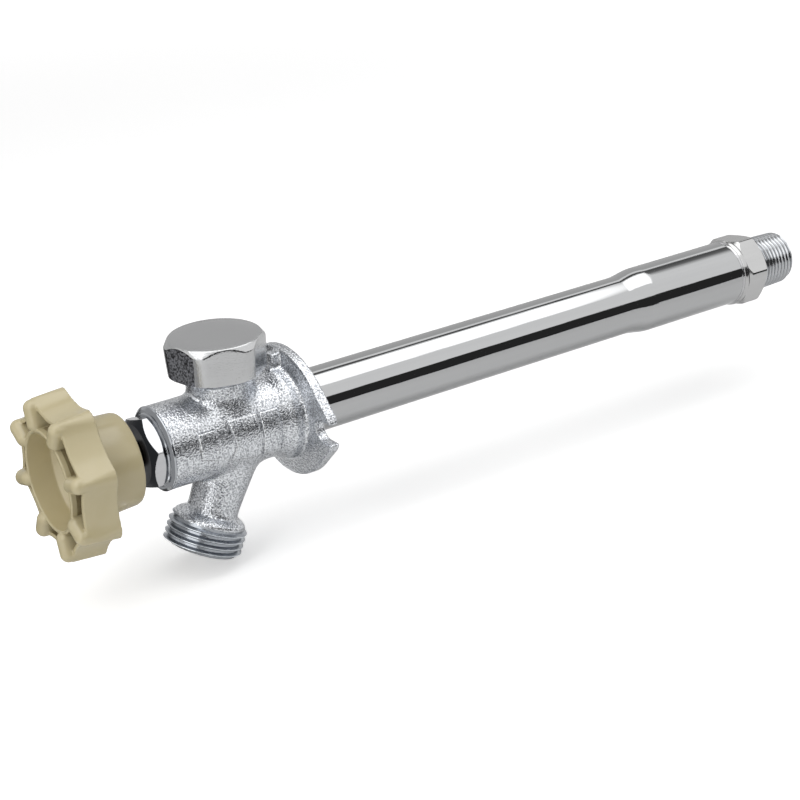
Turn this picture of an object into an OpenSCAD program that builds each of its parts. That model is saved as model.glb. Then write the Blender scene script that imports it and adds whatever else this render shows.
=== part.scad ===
// Frost free sillcock, in millimetres.
// Origin: centre of the flange's wall face, on the tube's axis.
// +Y runs along the tube into the wall, -Y to the handle, +Z is up.

/* [Supply tube] */
// Outside radius of the tube, seven eighths of an inch across
tube_r = 11.1125; // [10.5:0.0125:11.5]
// Wall of the tube
tube_wall = 1.65; // [1.3:0.05:1.9]
// Outside radius of the swaged end
swage_r = 12.45; // [12.3:0.05:12.7]
// Where the swage begins
swage_y = 144; // [138:1:146]
// Length of the swage's slope
swage_run = 12; // [10:1:13]
// How deep the tube sits in the body
tube_seat = 11.5; // [9:0.5:13]

/* [Seat plug] */
// Radius of the washer holder
holder_r = 7.2; // [7:0.1:7.6]
// Radius of the rubber seat washer
seat_washer_r = 6.45; // [6.2:0.05:6.6]
// Radius of the screw that holds it
seat_screw_r = 1.6; // [1.4:0.1:1.8]

/* [Inlet fitting] */
// Front of the valve seat
seat_y = 160; // [159:0.5:162]
// Radius of the seat's orifice
orifice_r = 4.5; // [4:0.1:4.8]
// Front of the wrench hexagon
inlet_hex_y = 200; // [198:0.5:204]
// Length of the wrench hexagon
inlet_hex_len = 11.9; // [9:0.1:13]
// Hexagon across flats
inlet_hex_af = 25.4; // [25:0.1:27]
// Turn of the hexagon about the tube
inlet_hex_turn = 52; // [0:1:59]
// Crest radius of the taper thread at the middle of its length
pipe_r = 10.38; // [10.2:0.01:10.6]
// Length of the taper thread
pipe_len = 17.7; // [16:0.1:20]
// Radius of the solder socket inside the thread
socket_r = 7.98; // [7.9:0.01:8.05]
// Depth of the solder socket
socket_depth = 12.7; // [11:0.1:15]

/* [Valve body] */
// Radius of the cast barrel
barrel_r = 14.3; // [13.8:0.1:14.8]
// Machined front end of the barrel
barrel_y = -53.2; // [-54:0.1:-53]
// Radius of the machined ring at the front end
ring_r = 14.4; // [14.4:0.05:14.8]
// Bore that takes the packing nut and the bushing
front_bore_r = 10.2; // [10:0.1:10.6]
// Water chamber radius
chamber_r = 9; // [8.5:0.1:9.3]
// Radius of the collar in front of the flange
collar_r = 16.3; // [15.8:0.1:17]
// Half height of the raised panels on the side
panel_half = 7.7; // [7:0.1:8]
// How far the panels are raised
panel_rise = 0.45; // [0.3:0.05:0.6]
// Front edges of the three panels
panel_front = [-42.5, -31.2, -19.4];
// Lengths of the three panels
panel_len = [6.3, 11, 7];
// Front end of the collar's slope
collar_y = -11; // [-12:0.5:-9]

/* [Flange] */
// Thickness of the flange
flange_t = 3.5; // [3:0.1:4.5]
// Half height of the flange
flange_half = 22.5; // [21.5:0.1:23.5]
// Radius of its top and bottom edges
flange_arc_r = 30; // [29:0.5:33]
// Radius of its two ends
flange_end_r = 10; // [9:0.1:10.5]
// Distance of each end's centre from the tube's axis
flange_end_x = 21; // [20.5:0.1:22]
// Distance of each screw notch's centre
notch_x = 25; // [24.5:0.1:25.5]
// Half width of the screw notch
notch_r = 3.5; // [3.2:0.1:3.8]

/* [Spout] */
// Lean of the spout forward from straight down
spout_tilt = 25; // [22:0.5:27]
// Where the spout's axis leaves the tube's axis
spout_y = -20.7; // [-21.5:0.1:-20]
// Length from the tube's axis to the mouth
spout_len = 44.1; // [43.5:0.1:46]
// Slimmest outside radius of the neck
neck_r = 8.7; // [8.5:0.1:9.2]
// Crest radius of the hose thread
hose_r = 13.45; // [13.3:0.05:13.5]
// Length of the hose thread
hose_len = 9.6; // [9:0.1:10.5]
// Radius of the passage in the neck
spout_bore_r = 6.2; // [5.8:0.1:6.4]
// Radius of the mouth
mouth_r = 9.8; // [9.4:0.1:10]

/* [Vacuum breaker] */
// Where the breaker stands along the tube
breaker_y = -26.2; // [-27:0.1:-26]
// Outside radius of its neck
boss_r = 11; // [10.8:0.1:11.4]
// Radius of the threaded head under the cap
boss_head_r = 12.6; // [12.4:0.1:12.8]
// Height of the threaded head's top
boss_top = 27; // [26.5:0.1:27.5]
// Height of the seat for the rubber disc
float_seat_z = 13; // [12.8:0.1:13.4]
// How far the float can rise
float_lift = 3; // [2.5:0.1:3.2]
// Half the cap across flats, at the top
cap_flat_r = 15.5; // [15.3:0.1:16]
// Radius of the cap's rounded corners
cap_corner_r = 16.9; // [16.6:0.1:17.4]
// Height of the cap's rim
cap_rim_z = 20.6; // [20:0.1:21]
// Height of the cap's top
cap_top_z = 33.1; // [32.8:0.1:34]
// Turn of the cap's corners
cap_turn = 13.2; // [0:0.1:59.9]

/* [Packing nut and bushing] */
// Packing nut across flats
nut_af = 22.7; // [22.5:0.1:23.5]
// Length of the packing nut's hexagon
nut_len = 5.2; // [4.8:0.1:5.6]
// Turn of the packing nut's corners
nut_turn = 43; // [0:1:59]
// Length of the nut's threaded shank inside the body
nut_shank = 5.6; // [5:0.1:6]
// Length of the bushing
bushing_len = 14.6; // [13:0.1:15]
// Radius of the threaded part of the stem
spindle_r = 6; // [5.8:0.1:6.2]
// Radius of the stem where it passes the packing
stem_r = 4; // [3.8:0.1:4]
// Radius of the long rod in the tube
rod_r = 3.2; // [3:0.1:3.4]
// Stem's travel from shut to open
travel = 6.35; // [5:0.05:6.5]
// Front of the guide on the long rod
guide_y = 62; // [40:1:110]
// Length of that guide
guide_len = 10; // [8:0.5:14]
// Radius of its sleeve
guide_r = 5; // [4.4:0.1:6]

/* [Handle] */
// Front rim of the handle's cup
cup_y = -89.4; // [-90:0.1:-88]
// Inside radius of the cup
cup_in_r = 16.06; // [15.5:0.02:16.2]
// Outside radius of the cup
cup_out_r = 17.3; // [17.2:0.05:17.6]
// Floor of the cup
cup_floor_y = -76; // [-78:0.5:-75]
// Outside radius of the hub where it leaves the skirt
hub_front_r = 16.3; // [16:0.1:16.6]
// Outside radius of the hub's rear edge
hub_rear_r = 15.5; // [15.2:0.1:15.8]
// Rear face of the hub
hub_y = -62.5; // [-63:0.1:-61.5]
// Radius of the hollow in that face
hub_hollow_r = 12; // [10:0.1:13]
// Front edge of the lobed skirt
skirt_front_y = -88; // [-88.4:0.1:-87.6]
// Rear edge of the lobed skirt
skirt_rear_y = -77; // [-77.4:0.1:-76.6]
// Skirt's corner radius at the rear
lobe_r = 27.6; // [27.2:0.1:28]
// Skirt's hollow radius at the rear
hollow_r = 24.5; // [24.2:0.1:24.9]
// Wall of the skirt
skirt_wall = 1.4; // [1.2:0.1:2]
// How far the rounded ribs stand out of the skirt
rib_out = 3.2; // [2.8:0.1:3.4]
// Turn of the first lobe
lobe_turn = 16; // [0:1:44]
// Half width of the rounded ribs
rib_r = 2.7; // [2.4:0.1:2.9]
// Square end of the stem, across flats
square_w = 5.6; // [5:0.1:5.6]

/* [Hidden] */
$fn = 96;
run_fit = 0.08;
same_fit = 0.05;
apart = 0.3;
tube_in_r = tube_r - tube_wall;
swage_in_r = swage_r - tube_wall;
fin_r = tube_in_r - 0.5;
tube_end_y = inlet_hex_y - 0.9;
inlet_thread_y = inlet_hex_y + inlet_hex_len;
inlet_end_y = inlet_thread_y + pipe_len;
nut_y = barrel_y - nut_len;
nut_flat_r = nut_af / 2;
nut_corner_r = nut_flat_r / cos(30);
nut_shank_y = barrel_y + nut_shank;
packing_r = front_bore_r - 2.1;
packing_y = barrel_y - 0.3;
packing_rear_y = nut_shank_y - 0.6;
bushing_y = packing_rear_y + 1;
bushing_r = front_bore_r - same_fit;
bushing_stop_y = bushing_y + 3.65;
bushing_rear_y = bushing_y + bushing_len;
spindle_y = bushing_stop_y + apart + travel;
chamber_y = bushing_rear_y + 0.5;
ring_groove_y = (bushing_stop_y + bushing_rear_y) / 2;
arc_drop = flange_arc_r - flange_half;
end_gap = sqrt(flange_end_x * flange_end_x + arc_drop * arc_drop);
end_angle = atan(arc_drop / flange_end_x) + acos((flange_arc_r - flange_end_r) / end_gap);
arc_x = flange_arc_r * cos(end_angle);
arc_z = flange_arc_r * sin(end_angle) - arc_drop;
end_x = flange_end_x + flange_end_r * cos(end_angle);
end_z = flange_end_r * sin(end_angle);
hose_y = spout_len - hose_len;
float_floor_z = float_seat_z - 1;
disc_t = 1.8;
float_z = float_seat_z + disc_t;
insert_z = float_z + 1.8 + float_lift + apart;
holder_y = seat_y - 12;
holder_stop_y = holder_y + 5.5;
washer_y = seat_y - 3.4;
clip_y = holder_y + 1.5;
stem_front_y = cup_floor_y + 0.4;
square_end_y = hub_y - 4.5;

// Turns a profile of [radius, y] points about the tube's axis.
module turned() {
    rotate([-90, 0, 0]) rotate_extrude() children();
}

// Stands a drawing in the X, Z plane and gives it depth towards the handle, from y.
module facing(y, depth) {
    translate([0, y, 0]) rotate([90, 0, 0]) linear_extrude(depth) children();
}

// A cylinder along the tube's axis, from y0 to y1.
module rod(r, y0, y1) {
    translate([0, y0, 0]) rotate([-90, 0, 0]) cylinder(h = y1 - y0, r = r);
}

// A hexagon along the tube's axis with both ends turned off.
module chamfered_hex(flat_r, y0, y1, front_r, front_slope, rear_r, rear_slope, turn) {
    corner = flat_r / cos(30);
    intersection() {
        translate([0, y1, 0]) rotate([90, turn, 0]) cylinder(h = y1 - y0, r = corner, $fn = 6);
        turned() polygon([
            [0, y0], [front_r, y0], [corner + 0.01, y0 + front_slope],
            [corner + 0.01, y1 - rear_slope], [rear_r, y1], [0, y1]
        ]);
    }
}

// A rubber ring about the tube's axis.
module axis_ring(r, section, y) {
    turned() translate([r, y]) circle(section, $fn = 32);
}

// Puts what it is given on the spout's axis, drawn downwards from the tube's axis.
module along_spout() {
    translate([0, spout_y, 0]) rotate([180 - spout_tilt, 0, 0]) children();
}

// Puts what it is given on the breaker's axis.
module at_breaker() {
    translate([0, breaker_y, 0]) children();
}

module flange_outline() {
    intersection() {
        translate([0, -arc_drop]) circle(flange_arc_r);
        translate([0, arc_drop]) circle(flange_arc_r);
        square([2 * arc_x, 4 * flange_half], center = true);
    }
    polygon([
        [-arc_x, arc_z], [arc_x, arc_z], [end_x, end_z], [end_x, -end_z],
        [arc_x, -arc_z], [-arc_x, -arc_z], [-end_x, -end_z], [-end_x, end_z]
    ]);
    for (s = [-1, 1]) translate([s * flange_end_x, 0]) circle(flange_end_r);
}

module flange_notches() {
    for (s = [-1, 1]) {
        translate([s * notch_x, 0]) circle(notch_r);
        translate([s * (notch_x + 10), 0]) square([20, 2 * notch_r], center = true);
    }
}

module barrel() {
    turned() {
        polygon([
            [0, barrel_y], [barrel_r - 1.4, barrel_y], [barrel_r - 0.3, barrel_y + 0.6],
            [ring_r, barrel_y + 1.1], [ring_r, barrel_y + 1.7], [barrel_r, barrel_y + 1.9],
            [barrel_r, collar_y], [collar_r, collar_y + 3.5], [collar_r, -1], [0, -1]
        ]);
        translate([collar_r, -flange_t - 1.4]) difference() {
            square(1.5);
            translate([1.5, 0]) circle(1.4);
        }
    }
}

module spout_outside() {
    along_spout() rotate_extrude() {
        polygon([
            [0, 0], [10.4, 0], [10.2, 12], [9.7, 17], [9.1, 23], [neck_r, 28.2], [neck_r, hose_y - 4.4],
            [neck_r + 0.5, hose_y - 3.2], [neck_r + 2.4, hose_y - 2.3], [hose_r - 0.9, hose_y - 0.9],
            [hose_r, hose_y + 0.6], [hose_r, spout_len - 1.3], [hose_r - 1, spout_len], [0, spout_len]
        ]);
    }
    intersection() {
        along_spout() rotate_extrude() difference() {
            translate([9.2, 5]) square([6.4, 9.1]);
            translate([15.7, 14.1]) circle(6);
        }
        translate([-neck_r - 0.9, barrel_y + 13, -2 * barrel_r]) cube([2 * neck_r + 1.8, -barrel_y - 13, 2 * barrel_r]);
    }
}

module spout_inside() {
    along_spout() rotate_extrude() polygon([
        [0, 2], [spout_bore_r, 2], [spout_bore_r, hose_y - 2.5], [mouth_r, hose_y + 1.5],
        [mouth_r, spout_len - 0.6], [mouth_r + 0.6, spout_len + 0.01], [0, spout_len + 0.01]
    ]);
}

module boss_outside() {
    at_breaker() {
        rotate_extrude() polygon([
            [0, 2], [boss_r + 1.6, 2], [boss_r + 1.6, 8.2], [boss_r + 1.2, 9.8], [boss_r + 0.4, 11.6],
            [boss_r, 13.6], [boss_r, cap_rim_z - 2.4], [boss_head_r, cap_rim_z - 0.8],
            [boss_head_r, boss_top - 0.8], [boss_head_r - 0.8, boss_top], [0, boss_top]
        ]);
        intersection() {
            rotate_extrude() difference() {
                translate([boss_r - 0.2, 10]) square([2.3, 6.4]);
                translate([boss_r + 2.2, barrel_r + 2.1]) circle(2.2);
            }
            translate([-6, -20, 8]) cube([12, 40, 10]);
        }
    }
}

module boss_inside() {
    at_breaker() {
        rotate_extrude() polygon([
            [0, 2], [orifice_r + 0.5, 2], [orifice_r + 0.5, float_seat_z], [orifice_r + 1.9, float_seat_z],
            [orifice_r + 1.9, float_floor_z], [chamber_r, float_floor_z], [chamber_r, boss_top + 1],
            [0, boss_top + 1]
        ]);
        for (a = [30, 150, 270]) rotate([0, 0, a])
            translate([boss_head_r, 0, cap_rim_z - 3]) cylinder(h = 10, r = 1.2, $fn = 24);
    }
}

// Upright rib on the front of the flange, from the collar to the flange's top.
module gusset() {
    translate([-2, 0, 0]) rotate([90, 0, 90]) linear_extrude(4) polygon([
        [-flange_t - 5.4, 11], [-flange_t - 5, collar_r + 0.6], [-flange_t - 3.7, collar_r + 1.8],
        [-flange_t - 3.5, flange_half - 1.4], [-1, flange_half - 0.6], [-1, 11]
    ]);
}

// Bare raised pads on the side of the casting.
module pads() {
    intersection() {
        rod(barrel_r + panel_rise, barrel_y + 8, collar_y - 1);
        translate([barrel_r * 0.56, 0, 0]) rotate([90, 0, 90]) linear_extrude(barrel_r) {
            translate([panel_front[0], 0]) polygon([
                [0.1, panel_half * 0.86], [panel_len[0], panel_half * 0.86],
                [panel_len[0] + 0.6, panel_half * 0.4], [panel_len[0] - 0.4, -panel_half / 2],
                [0, -panel_half / 4]
            ]);
            translate([panel_front[1], 0]) polygon([
                [0, panel_half], [panel_len[1] - 0.2, panel_half], [panel_len[1], -panel_half],
                [-0.2, -panel_half * 0.73], [1.7, -panel_half * 0.1]
            ]);
            translate([panel_front[2], -panel_half]) square([panel_len[2], 2 * panel_half]);
        }
    }
}

module valve_body() {
    color("silver") difference() {
        union() {
            barrel();
            facing(0, flange_t) flange_outline();
            spout_outside();
            boss_outside();
            gusset();
            pads();
        }
        rod(front_bore_r, barrel_y - 1, chamber_y);
        rod(chamber_r, chamber_y - 1, 1 - tube_seat);
        rod(tube_r + same_fit, -tube_seat, 1);
        spout_inside();
        boss_inside();
        facing(1, flange_t + 2) flange_notches();
    }
}

module tube_profile(r, big_r, y0) {
    polygon([
        [0, y0], [r, y0], [r, swage_y], [r + (big_r - r) * 0.12, swage_y + swage_run * 0.25],
        [r + (big_r - r) * 0.88, swage_y + swage_run * 0.75], [big_r, swage_y + swage_run],
        [big_r, tube_end_y + (y0 < -tube_seat ? 1 : 0)], [0, tube_end_y + (y0 < -tube_seat ? 1 : 0)]
    ]);
}

module supply_tube() {
    color("silver") turned() difference() {
        tube_profile(tube_r, swage_r, -tube_seat);
        tube_profile(tube_in_r, swage_in_r, -tube_seat - 1);
    }
}

module inlet_fitting() {
    shank_r = swage_in_r - same_fit;
    color("gainsboro") difference() {
        union() {
            turned() polygon([
                [0, seat_y], [orifice_r + 1.5, seat_y], [orifice_r + 2.1, seat_y + 1.6],
                [shank_r - 1, seat_y + 1.6], [shank_r, seat_y + 2.6], [shank_r, inlet_hex_y],
                [pipe_r, inlet_hex_y], [pipe_r, inlet_end_y - 1.2], [pipe_r - 1.1, inlet_end_y],
                [0, inlet_end_y]
            ]);
            chamfered_hex(inlet_hex_af / 2, inlet_hex_y, inlet_thread_y, swage_r + 0.15, 2.8,
                inlet_hex_af / 2 - 0.4, 1.6, inlet_hex_turn);
        }
        turned() polygon([
            [0, seat_y - 1], [orifice_r, seat_y - 1], [orifice_r, seat_y + 4], [6.4, seat_y + 7],
            [6.4, inlet_end_y - socket_depth], [socket_r, inlet_end_y - socket_depth],
            [socket_r, inlet_end_y + 1], [0, inlet_end_y + 1]
        ]);
    }
}

module braze_ring() {
    color("darkgray") turned() polygon([
        [swage_in_r, tube_end_y], [swage_r - 0.2, tube_end_y], [swage_r + 0.1, tube_end_y + 0.3],
        [swage_r + 0.15, inlet_hex_y], [swage_in_r, inlet_hex_y]
    ]);
}

module packing_nut() {
    color("gainsboro") difference() {
        union() {
            chamfered_hex(nut_flat_r, nut_y, barrel_y, nut_flat_r - 1.1, 2.1, nut_flat_r - 0.3, 1.4, nut_turn);
            rod(front_bore_r - same_fit, barrel_y - 0.5, nut_shank_y);
        }
        rod(stem_r + run_fit, nut_y - 1, nut_shank_y);
        turned() polygon([
            [0, nut_y - 0.01], [stem_r + 2.1, nut_y - 0.01], [stem_r + run_fit, nut_y + 1.6], [0, nut_y + 1.6]
        ]);
        rod(packing_r + same_fit, packing_y, nut_shank_y + 1);
    }
}

module stem_packing() {
    color("dimgray") difference() {
        rod(packing_r, packing_y, packing_rear_y);
        rod(stem_r + run_fit, packing_y - 1, packing_rear_y + 1);
    }
}

module packing_washer() {
    color("goldenrod") difference() {
        rod(packing_r, packing_rear_y, bushing_y);
        rod(stem_r + apart, packing_rear_y - 1, bushing_y + 1);
    }
}

module stem_bushing() {
    color("goldenrod") difference() {
        rod(bushing_r, bushing_y, bushing_rear_y);
        rod(stem_r + apart, bushing_y - 1, bushing_rear_y);
        rod(spindle_r + run_fit, bushing_stop_y, bushing_rear_y + 1);
        difference() {
            rod(bushing_r + 1, ring_groove_y - 1.2, ring_groove_y + 1.2);
            rod(bushing_r - 1.7, ring_groove_y - 2, ring_groove_y + 2);
        }
        translate([-bushing_r - 1, bushing_y - 1, -1.2]) cube([2 * bushing_r + 2, 2.2, 2.4]);
    }
}

module bushing_o_ring() {
    color("black") axis_ring(bushing_r - 0.8, 0.85, ring_groove_y);
}

module breaker_cap() {
    h = cap_top_z - cap_rim_z;
    color("lightgray") at_breaker() difference() {
        intersection() {
            translate([0, 0, cap_rim_z]) rotate([0, 0, cap_turn])
                cylinder(h = h, r1 = (cap_flat_r - 0.4) / cos(30), r2 = cap_flat_r / cos(30), $fn = 6);
            rotate_extrude() polygon([
                [0, cap_rim_z], [cap_corner_r - 1, cap_rim_z], [cap_corner_r - 0.6, cap_rim_z + 0.4],
                [cap_corner_r, cap_top_z - 1.9], [cap_flat_r - 0.1, cap_top_z], [0, cap_top_z]
            ]);
        }
        rotate_extrude() polygon([
            [0, cap_rim_z - 1], [boss_head_r + 0.9, cap_rim_z - 1], [boss_head_r + 0.9, cap_rim_z + 0.6],
            [boss_head_r + same_fit, cap_rim_z + 1.4], [boss_head_r + same_fit, cap_top_z - 3],
            [boss_head_r - 1, cap_top_z - 2.6], [0, cap_top_z - 2.6]
        ]);
    }
}

module breaker_insert() {
    color("goldenrod") at_breaker() difference() {
        rotate_extrude() polygon([
            [0, insert_z], [6, insert_z], [6.6, insert_z + 0.8], [chamber_r - same_fit, insert_z + 0.8],
            [chamber_r - same_fit, boss_top], [boss_head_r - 1, boss_top], [boss_head_r - 1, boss_top + 1.4],
            [0, boss_top + 1.4]
        ]);
        difference() {
            translate([0, 0, insert_z - 1]) cylinder(h = 20, r = 5);
            translate([0, 0, insert_z + 1.6]) {
                cylinder(h = 20, r = 3.4);
                for (a = [0, 120, 240]) rotate([0, 0, a])
                    translate([0, -0.8, 0]) cube([6, 1.6, 20]);
            }
        }
        translate([0, 0, insert_z - 1]) cylinder(h = 20, r = 2 + run_fit);
        difference() {
            translate([0, 0, boss_top - 3.2]) cylinder(h = 2.2, r = chamber_r + 1);
            translate([0, 0, boss_top - 4]) cylinder(h = 4, r = chamber_r - 1.75);
        }
        for (a = [45, 135]) rotate([0, 0, a])
            translate([-13, -1.3, boss_top + 0.6]) cube([26, 2.6, 2]);
    }
}

module breaker_o_ring() {
    color("black") at_breaker() translate([0, 0, boss_top - 2.1])
        rotate_extrude() translate([chamber_r - 0.85, 0]) circle(0.8, $fn = 32);
}

module breaker_float() {
    color("ivory") at_breaker() rotate_extrude() polygon([
        [0, float_seat_z - 1.4], [1.5, float_seat_z - 1.4], [1.5, float_z], [6.3, float_z],
        [6.3, float_z + 1.2], [5.4, float_z + 1.8], [2.8, float_z + 1.8], [2, float_z + 2.8],
        [2, boss_top - 1], [1.4, boss_top - 0.4], [0, boss_top - 0.4]
    ]);
}

module float_disc() {
    color("black") at_breaker() translate([0, 0, float_seat_z]) difference() {
        cylinder(h = disc_t, r = 7.2);
        translate([0, 0, -1]) cylinder(h = 5, r = 1.5 + same_fit);
    }
}

module float_retainer() {
    color("silver") at_breaker() translate([0, 0, float_seat_z - 0.8]) difference() {
        cylinder(h = 0.8, r = 3.4);
        translate([0, 0, -1]) cylinder(h = 5, r = 1.5 + same_fit);
    }
}

// The skirt's shape: an eight sided taper with blunt corners and shallow hollows between them.
module skirt_solid(inset, y0, y1) {
    draft = 0.7;
    side = (lobe_r + hollow_r) / 2 - 0.15 - inset;
    translate([0, y1, 0]) rotate([90, 0, 0]) rotate([0, 0, lobe_turn]) difference() {
        intersection() {
            cylinder(h = y1 - y0, r1 = side / cos(22.5), r2 = (side - draft) / cos(22.5), $fn = 8);
            cylinder(h = y1 - y0, r1 = lobe_r - inset, r2 = lobe_r - inset - draft);
        }
        for (k = [0:7]) rotate([0, 0, 22.5 + 45 * k]) translate([hollow_r + 22, 0, 0])
            rotate([0, -8, 0]) translate([0, 0, -5]) cylinder(h = 25, r = 22 + inset);
    }
}

module handle_rib() {
    front = skirt_front_y + rib_r - rib_out;
    translate([19, front, 0]) rotate([-90, 0, 0]) cylinder(h = skirt_rear_y - 1 - front, r = rib_r, $fn = 48);
    translate([24.1, front, 0]) rotate([-90, 0, 0]) cylinder(h = skirt_rear_y - 1 - front, r = rib_r, $fn = 48);
    translate([19, front, -rib_r]) cube([5.1, skirt_rear_y - 1 - front, 2 * rib_r]);
    for (x = [19, 24.1]) translate([x, front, 0]) sphere(rib_r, $fn = 48);
    translate([19, front, 0]) rotate([0, 90, 0]) cylinder(h = 5.1, r = rib_r, $fn = 48);
}

module handle() {
    color("tan") difference() {
        union() {
            turned() difference() {
                union() {
                    polygon([
                        [0, cup_y + 0.4], [cup_in_r, cup_y + 0.4], [cup_in_r + 0.4, cup_y],
                        [cup_out_r - 0.4, cup_y], [cup_out_r, cup_y + 0.4], [cup_out_r, skirt_rear_y - 1],
                        [hub_front_r, skirt_rear_y], [hub_rear_r, hub_y - 1.2], [hub_rear_r - 1.2, hub_y],
                        [0, hub_y]
                    ]);
                    translate([hub_rear_r - 1.2, hub_y - 1.2]) circle(1.2);
                }
                polygon([
                    [0, cup_y - 1], [cup_in_r, cup_y - 1], [cup_in_r, cup_floor_y - 5],
                    [cup_in_r - 2.6, cup_floor_y - 1.6], [cup_in_r - 4, cup_floor_y], [0, cup_floor_y]
                ]);
            }
            difference() {
                skirt_solid(0, skirt_front_y, skirt_rear_y);
                skirt_solid(skirt_wall, skirt_front_y - 1, skirt_rear_y - 2);
                rod(cup_in_r + 0.5, skirt_front_y - 1, skirt_rear_y + 1);
            }
            for (k = [0:7]) rotate([0, -lobe_turn - 45 * k, 0]) handle_rib();
        }
        translate([-square_w / 2 - same_fit, cup_floor_y - 1, -square_w / 2 - same_fit])
            cube([square_w + 2 * same_fit, 20, square_w + 2 * same_fit]);
        rod(hub_hollow_r, square_end_y, hub_y + 1);
    }
}

module handle_washer() {
    color("silver") difference() {
        rod(6.2, cup_floor_y - 0.8, cup_floor_y);
        rod(2.3, cup_floor_y - 2, cup_floor_y + 1);
    }
}

module handle_screw() {
    color("silver") difference() {
        union() {
            turned() polygon([
                [0, cup_floor_y - 3.4], [2.6, cup_floor_y - 3.4], [4, cup_floor_y - 2.6],
                [4.4, cup_floor_y - 1.6], [4.4, cup_floor_y - 0.8], [0, cup_floor_y - 0.8]
            ]);
            rod(2.05, cup_floor_y - 1, cup_floor_y + 9);
        }
        translate([-2.6, cup_floor_y - 4, -0.6]) cube([5.2, 1.8, 1.2]);
        translate([-0.6, cup_floor_y - 4, -2.6]) cube([1.2, 1.8, 5.2]);
    }
}

module valve_stem() {
    color("goldenrod") difference() {
        union() {
            translate([-square_w / 2, stem_front_y, -square_w / 2])
                cube([square_w, square_end_y - stem_front_y + 0.5, square_w]);
            turned() polygon([
                [0, square_end_y], [stem_r - 0.3, square_end_y], [stem_r, square_end_y + 0.4],
                [stem_r, spindle_y], [spindle_r - 0.8, spindle_y], [spindle_r, spindle_y + 0.8],
                [spindle_r, spindle_y + 8.6], [spindle_r - 1.2, spindle_y + 9.6], [rod_r, spindle_y + 10.4],
                [rod_r, clip_y - 0.1], [rod_r - 0.6, clip_y - 0.1], [rod_r - 0.6, clip_y + 1.1],
                [rod_r, clip_y + 1.1], [rod_r, holder_stop_y], [0, holder_stop_y]
            ]);
        }
        rod(2.1, stem_front_y - 1, cup_floor_y + 10);
    }
}

module stem_guide() {
    color("ivory") difference() {
        union() {
            rod(guide_r, guide_y, guide_y + guide_len);
            for (a = [45, 135]) rotate([0, a, 0])
                translate([-0.8, guide_y, -fin_r]) cube([1.6, guide_len, 2 * fin_r]);
        }
        rod(rod_r + same_fit, guide_y - 1, guide_y + guide_len + 1);
    }
}

module washer_holder() {
    color("goldenrod") difference() {
        union() {
            rod(holder_r, holder_y, washer_y + 1.4);
            for (a = [90, 210, 330]) rotate([0, a, 0])
                translate([holder_r - 1.2, holder_y, -0.9]) cube([fin_r - holder_r + 1.2, 8, 1.8]);
        }
        rod(rod_r + run_fit, holder_y - 1, holder_stop_y);
        rod(rod_r + 1.2, clip_y, clip_y + 1);
        rod(seat_screw_r + same_fit, holder_stop_y - 1, washer_y + 1);
        rod(seat_washer_r + same_fit, washer_y, washer_y + 3);
    }
}

module stem_clip() {
    color("silver") difference() {
        rod(rod_r + 1.15, clip_y, clip_y + 1);
        rod(rod_r - 0.6 + run_fit, clip_y - 1, clip_y + 2);
        translate([-1, clip_y - 1, 0]) cube([2, 3, 6]);
    }
}

module seat_washer() {
    color("black") difference() {
        rod(seat_washer_r, washer_y, seat_y);
        rod(seat_screw_r + 0.1, washer_y - 1, seat_y + 1);
    }
}

module seat_screw() {
    color("silver") difference() {
        union() {
            rod(seat_screw_r, holder_stop_y + 0.5, seat_y + 0.2);
            turned() polygon([
                [0, seat_y], [2 * seat_screw_r, seat_y], [2 * seat_screw_r, seat_y + 0.8],
                [1.5 * seat_screw_r, seat_y + 1.8], [0, seat_y + 1.8]
            ]);
        }
        translate([-0.4, seat_y + 0.9, -2 * seat_screw_r - 1]) cube([0.8, 2, 4 * seat_screw_r + 2]);
    }
}

valve_body();
supply_tube();
inlet_fitting();
braze_ring();
packing_nut();
stem_packing();
packing_washer();
stem_bushing();
bushing_o_ring();
breaker_cap();
breaker_insert();
breaker_o_ring();
breaker_float();
float_disc();
float_retainer();
handle();
handle_screw();
handle_washer();
valve_stem();
stem_guide();
washer_holder();
seat_washer();
seat_screw();
stem_clip();
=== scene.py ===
"""Frost free sillcock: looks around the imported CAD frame, in metres."""
import math
import bmesh
import bpy
import numpy as np
from mathutils import Matrix, Vector


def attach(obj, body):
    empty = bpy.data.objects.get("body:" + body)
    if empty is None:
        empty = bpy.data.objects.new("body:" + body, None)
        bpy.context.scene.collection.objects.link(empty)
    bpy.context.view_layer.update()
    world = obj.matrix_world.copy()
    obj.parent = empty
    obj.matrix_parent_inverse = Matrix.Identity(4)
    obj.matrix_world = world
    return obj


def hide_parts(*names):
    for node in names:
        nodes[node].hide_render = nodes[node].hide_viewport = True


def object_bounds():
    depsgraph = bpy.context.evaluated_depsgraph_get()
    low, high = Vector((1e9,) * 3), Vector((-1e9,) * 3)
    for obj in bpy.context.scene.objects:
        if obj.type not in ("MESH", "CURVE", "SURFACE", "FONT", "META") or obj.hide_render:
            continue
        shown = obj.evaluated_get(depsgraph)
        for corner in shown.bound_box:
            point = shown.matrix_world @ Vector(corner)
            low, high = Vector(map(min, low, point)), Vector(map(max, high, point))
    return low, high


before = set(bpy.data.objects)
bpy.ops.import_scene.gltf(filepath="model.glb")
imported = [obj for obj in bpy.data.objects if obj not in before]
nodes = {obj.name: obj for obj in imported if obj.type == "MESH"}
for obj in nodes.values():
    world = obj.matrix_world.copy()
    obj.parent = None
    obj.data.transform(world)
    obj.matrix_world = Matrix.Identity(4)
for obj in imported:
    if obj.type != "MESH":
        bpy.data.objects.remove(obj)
cad_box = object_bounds()


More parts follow.
